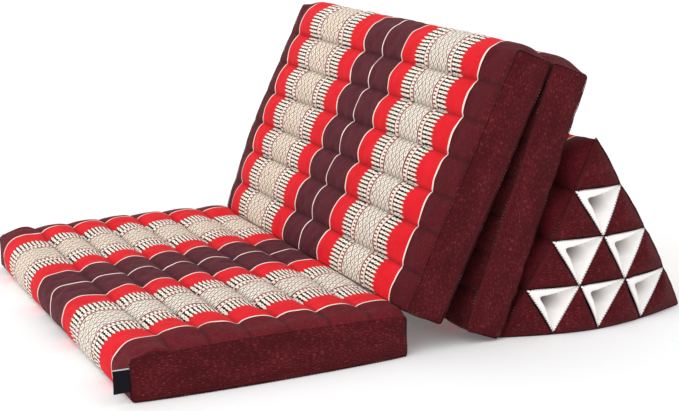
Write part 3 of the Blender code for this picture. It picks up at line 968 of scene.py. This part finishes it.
def build_pocket(name, side, r, c, material):
    """The white cloth of one recess: a funnel with a padded lip on two sides, in two layers."""
    fine = 42
    seed = 100 + 7 * r + 3 * c + (50 if side > 0 else 0)
    index, outer, lips, steps = {}, [], [], []
    for i in range(fine + 1):
        for j in range(fine + 1 - i):
            a, b = i / fine, j / fine
            w = np.array([1 - a - b, a, b])
            (x, out, z), lip, along = pocket_surface(side, r, c, w, seed)
            index[(i, j)] = len(outer)
            outer.append((x, side * (TRI_HALF + out), z))
            lips.append(lip)
            steps.append(along)
    outer = np.array(outer)
    tris = []
    for i in range(fine):
        for j in range(fine - i):
            tris.append((index[(i, j)], index[(i + 1, j)], index[(i, j + 1)]))
            if i + j < fine - 1:
                tris.append((index[(i + 1, j)], index[(i + 1, j + 1)], index[(i, j + 1)]))
    t = np.array(tris)
    fn = np.cross(outer[t[:, 1]] - outer[t[:, 0]], outer[t[:, 2]] - outer[t[:, 0]])
    vn = np.zeros_like(outer)
    for k in range(3):
        np.add.at(vn, t[:, k], fn)
    vn /= np.linalg.norm(vn, axis=1)[:, None]
    vn *= np.sign(vn[:, 1] * side)[:, None]
    count = len(outer)
    inner = outer - vn * 0.0013
    faces = [*map(tuple, tris), *[(a + count, d + count, b + count) for a, b, d in tris]]
    rim = [(i, 0) for i in range(fine)] + [(fine - k, k) for k in range(fine)] + [(0, fine - k) for k in range(fine)]
    for p, q in zip(rim, rim[1:] + rim[:1]):
        faces.append((index[p], index[q], index[q] + count, index[p] + count))
    verts = np.concatenate([outer, inner])
    weave = np.stack([verts[:, 0], verts[:, 2], np.array(steps * 2)], 1)
    obj = new_mesh(name + "_cloth", verts, faces, {"weave": weave, "lip": np.array(lips * 2)})
    outward(obj)
    obj.data.transform(Matrix.Translation((TRI_X - MID_X, 0, 0)))
    finish_piece(obj, name, material)
    return obj


def build_label(material):
    """A folded tab: two layers of ribbon round a fold at its free end."""
    out, tall, low = 0.031, 0.042, 0.0210
    half, t = 0.0011, 0.00045
    path = []
    for k in range(9):
        path.append((-out * k / 8 * 0.93, half * (1 - 0.2 * (k / 8))))
    for k in range(1, 6):
        a = math.pi * k / 6
        path.append((-out * 0.93 - half * 0.8 * math.sin(a) * 2.0, half * 0.8 * math.cos(a)))
    for x, h in [(x, -h) for x, h in path[:9]][::-1]:
        path.append((x, h))
    rows = 14
    verts, weave, faces = [], [], []
    pts = np.array(path)
    tang = np.gradient(pts, axis=0)
    tang /= np.linalg.norm(tang, axis=1)[:, None]
    nor = np.stack([-tang[:, 1], tang[:, 0]], 1)
    for layer in (-1, 1):
        for i in range(rows + 1):
            f = i / rows
            for k, (p, nn) in enumerate(zip(pts, nor)):
                q = p + nn * t * layer
                bend = -0.0045 * (p[0] / out) ** 2 + 0.0016 * math.sin(math.pi * f) * p[0] / out
                sag = -0.0022 * (p[0] / out) ** 2
                verts.append((q[0], q[1] + bend, low + tall * f - sag * (1 if f > 0.5 else 0.6)))
                weave.append((k / len(pts) * 0.062, f * tall, 0.0))
    n, block = len(pts), (rows + 1) * len(pts)
    for layer in (0, 1):
        for i in range(rows):
            for k in range(n - 1):
                o = layer * block
                faces.append((o + i * n + k, o + i * n + k + 1, o + (i + 1) * n + k + 1, o + (i + 1) * n + k))
    for i in range(rows):
        for k in (0, n - 1):
            faces.append((i * n + k, (i + 1) * n + k, block + (i + 1) * n + k, block + i * n + k))
    for k in range(n - 1):
        for i in (0, rows):
            faces.append((i * n + k, i * n + k + 1, block + i * n + k + 1, block + i * n + k))
    obj = new_mesh("label_ribbon", verts, faces, {"weave": weave})
    outward(obj)
    obj.data.transform(Matrix.Translation((-0.0006 - MID_X, -WIDTH / 2 - 0.0012, 0)))
    finish_piece(obj, "label_tab", material)
    return obj


def label_material():
    m, shader = start_material("label_satin", roughness=0.5, sheen=0.0, tint=(1, 1, 1, 1), specular=0.08)
    (p, v, _), _ = coordinates()
    rib = sine(v * (2 * math.pi / 0.0008)) * 0.5 + 0.5
    colour = mix(rib * 0.5, srgb(12, 14, 20), srgb(24, 27, 36))
    # painted highlight: a pale band along the label's top edge
    colour = mix((v > 0.0408), colour, srgb(205, 205, 212))
    end_material(shader, colour, rib, 0.3, 0.0003)
    return m


# ------------------------------------------------------------------ simulation
def inflate(objects, frames=14):
    """Cloth pressure on the covers with their seams held, so that the cloth puckers at them."""
    scene = bpy.context.scene
    before = {}
    for o in objects:
        n = len(o.data.vertices)
        co = np.zeros(n * 3, np.float32)
        o.data.vertices.foreach_get("co", co)
        before[o.name] = co.reshape(-1, 3).astype(float)
        mod = o.modifiers.new("Cloth", "CLOTH")
        s = mod.settings
        s.quality = 4
        s.mass = 0.3
        s.tension_stiffness = s.compression_stiffness = 40
        s.shear_stiffness = 12
        s.bending_stiffness = 0.4
        s.tension_damping = s.compression_damping = s.shear_damping = 8
        s.air_damping = 3
        s.use_pressure = True
        s.uniform_pressure_force = 3.0
        s.shrink_min = -0.012
        s.vertex_group_mass = "pins"
        s.pin_stiffness = 1.0
        s.effector_weights.gravity = 0
        mod.collision_settings.use_collision = False
        mod.collision_settings.use_self_collision = False
        mod.point_cache.frame_start, mod.point_cache.frame_end = 1, frames
    for f in range(1, frames + 1):
        scene.frame_set(f)
    dg = bpy.context.evaluated_depsgraph_get()
    after = {}
    for o in objects:
        e = o.evaluated_get(dg)
        co = np.zeros(len(o.data.vertices) * 3, np.float32)
        e.data.vertices.foreach_get("co", co)
        after[o.name] = co.reshape(-1, 3).astype(float)
    for o in objects:
        o.modifiers.remove(o.modifiers["Cloth"])
    scene.frame_set(1)
    for o in objects:
        a, b = before[o.name], after[o.name]
        d = np.nan_to_num(b - a)
        rows, cols = GRIDS[o.name]
        main = d[: rows * cols].reshape(rows, cols, 3)
        # the crowns are already built in, so most of the swelling comes off and the puckers stay
        window = 9
        padded = np.concatenate([main[:1].repeat(window // 2, 0), main, main[-1:].repeat(window // 2, 0)])
        low = np.stack([padded[k : k + rows] for k in range(window)]).mean(0)
        low2 = low.copy()
        main[:] = 0.15 * low2 + 0.85 * (main - low)
        d[rows * cols :] *= 0.35
        size = np.linalg.norm(d, axis=1)
        cap = 0.0030
        d *= (np.minimum(size, cap) / np.maximum(size, 1e-9))[:, None]
        print("cloth", o.name, "mean", round(float(size.mean()) * 1000, 2), "max", round(float(size.max()) * 1000, 2), "mm")
        out = a + d
        out[:, 2] = np.maximum(out[:, 2], 0.0)
        o.data.vertices.foreach_set("co", out.astype(np.float32).ravel())
        o.data.update()


def subdivide(obj):
    mod = obj.modifiers.new("Subdivision", "SUBSURF")
    mod.levels = mod.render_levels = 1
    dg = bpy.context.evaluated_depsgraph_get()
    mesh = bpy.data.meshes.new_from_object(obj.evaluated_get(dg), preserve_all_data_layers=True, depsgraph=dg)
    obj.modifiers.clear()
    old = obj.data
    obj.data = mesh
    bpy.data.meshes.remove(old)
    obj.vertex_groups.clear()
    mesh.shade_smooth()


def add_ridges(obj, runs):
    """Sewn ridges on a cover's edges: runs of (points, radius)."""
    bm = bmesh.new()
    bm.from_mesh(obj.data)
    weave = bm.verts.layers.float_vector["weave"]
    seam = bm.verts.layers.float_vector["seam"]
    for number, (points, radius) in enumerate(runs):
        at = np.array(points, float)
        reach = np.concatenate([[0], np.cumsum(np.linalg.norm(np.diff(at, axis=0), axis=1))])
        count = max(8, int(reach[-1] / 0.0033))
        fine = np.linspace(0, reach[-1], count)
        at = np.stack([np.interp(fine, reach, at[:, k]) for k in range(3)], 1)
        tang = np.gradient(at, axis=0)
        tang /= np.linalg.norm(tang, axis=1)[:, None]
        other = np.array([0.0, 0.0, 1.0]) if abs(tang[:, 2]).mean() < 0.8 else np.array([1.0, 0.0, 0.0])
        one = np.cross(tang, other)
        one /= np.linalg.norm(one, axis=1)[:, None]
        two = np.cross(tang, one)
        rings = []
        rough = noise1(fine, 0.007, 300 + number)
        for k in range(count):
            r = radius * (1 + 0.16 * math.sin(2 * math.pi * fine[k] / 0.0062) + 0.16 * rough[k])
            if k in (0, count - 1):
                r *= 0.5
            ring = []
            for a in range(6):
                ang = math.pi * a / 3
                v = bm.verts.new(Vector(at[k] + r * (math.cos(ang) * one[k] + math.sin(ang) * two[k])))
                v[weave] = Vector((0.3 + radius * 0.1, fine[k], 0.0))
                v[seam] = Vector((0.02, 0.02, 1.0))
                ring.append(v)
            rings.append(ring)
        for a, b in zip(rings, rings[1:]):
            for k in range(6):
                f = bm.faces.new((a[k], a[(k + 1) % 6], b[(k + 1) % 6], b[k]))
                f.smooth = True
        bm.faces.new(rings[0][::-1])
        bm.faces.new(rings[-1])
    bm.to_mesh(obj.data)
    bm.free()


def edge_points(obj, group):
    """The places of a cover's edges, before it is subdivided."""
    co = np.zeros(len(obj.data.vertices) * 3, np.float32)
    obj.data.vertices.foreach_get("co", co)
    co = co.reshape(-1, 3)
    return [co[list(run)] for run in EDGES[obj.name][group]]


# ------------------------------------------------------------------ build
woven = woven_material()
white = white_material()
ribbon = label_material()

covers = [build_mat(name, woven) for name in MATS]
bolster = build_bolster(woven)
inflate([*covers, bolster])
THREAD = {
    "seat_mat_cover": dict(low=0.0017, near=0.0014, far=0.0012, hems=0.0010),
    "back_mat_cover": dict(top=0.0006, low=0.0015, near=0.0012, far=0.0012, hems=0.0009),
    "rear_mat_cover": dict(top=0.0008, low=0.0014, near=0.0012, far=0.0012, hems=0.0009),
    "triangle_cushion_cover": dict(front=0.0011, rear=0.0012, base=0.0014),
}
for o in [*covers, bolster]:
    runs = []
    for group, radius in THREAD[o.name].items():
        for k, points in enumerate(edge_points(o, group)):
            if group != "hems" or k > 1:
                lifted = points.copy()
                lifted[:, 2] = np.maximum(lifted[:, 2], radius * 1.1)
                runs.append((lifted, radius))
    subdivide(o)
    add_ridges(o, runs)
for o, name in zip(covers, MATS):
    finish_piece(o, name, woven)
finish_piece(bolster, "triangle_cushion", woven)

for word, side in (("near", -1.0), ("far", 1.0)):
    count = 0
    for r in range(1, ROLLS):
        for c in range(r):
            count += 1
            build_pocket(f"pocket_{word}_{count}", side, r, c, white)
build_label(ribbon)

# ------------------------------------------------------------------ floor, light, camera
floor = new_mesh("floor", [(-9, -9, -0.0006), (9, -9, -0.0006), (9, 9, -0.0006), (-9, 9, -0.0006)], [(0, 1, 2, 3)])
fm = bpy.data.materials.new("floor_paint")
fm.use_nodes = True
fs = fm.node_tree.nodes["Principled BSDF"]
fs.inputs["Base Color"].default_value = (0.89, 0.89, 0.89, 1)
fs.inputs["Emission Color"].default_value = (1.0, 1.0, 1.0, 1)
fs.inputs["Emission Strength"].default_value = 0.10
fs.inputs["Roughness"].default_value = 0.9
fs.inputs["Specular IOR Level"].default_value = 0.1
floor.data.materials.append(fm)

world = bpy.data.worlds.new("studio")
world.use_nodes = True
world.node_tree.nodes["Background"].inputs[0].default_value = (1.0, 1.0, 1.0, 1)
world.node_tree.nodes["Background"].inputs[1].default_value = 0.86
bpy.context.scene.world = world


def soft_sun(name, direction, strength, spread):
    data = bpy.data.lights.new(name, "SUN")
    data.energy = strength
    data.angle = spread
    o = bpy.data.objects.new(name, data)
    o.location = (0, 0, 3)
    o.rotation_euler = Vector(direction).to_track_quat("-Z", "Y").to_euler()
    bpy.context.scene.collection.objects.link(o)


soft_sun("key", (0.75, 0.35, -1.0), 1.05, 0.9)

camera = bpy.data.cameras.new("camera")
camera.sensor_width = 36.0
camera.lens = 1574.8 * 36.0 / 679.0
camera.clip_end = 60
cam = bpy.data.objects.new("camera", camera)
yaw, pitch, roll = 0.41682, 0.22907, -0.026235
d = Vector((math.sin(yaw) * math.cos(pitch), math.cos(yaw) * math.cos(pitch), -math.sin(pitch)))
r = Vector((math.cos(yaw), -math.sin(yaw), 0))
u = r.cross(d)
r2 = math.cos(roll) * r + math.sin(roll) * u
u2 = -math.sin(roll) * r + math.cos(roll) * u
cam.matrix_world = Matrix((
    (r2.x, u2.x, -d.x, -0.6945 - MID_X),
    (r2.y, u2.y, -d.y, -2.9649),
    (r2.z, u2.z, -d.z, 0.9269),
    (0, 0, 0, 1),
))
bpy.context.scene.collection.objects.link(cam)
bpy.context.scene.camera = cam
bpy.context.scene.view_settings.view_transform = "Standard"
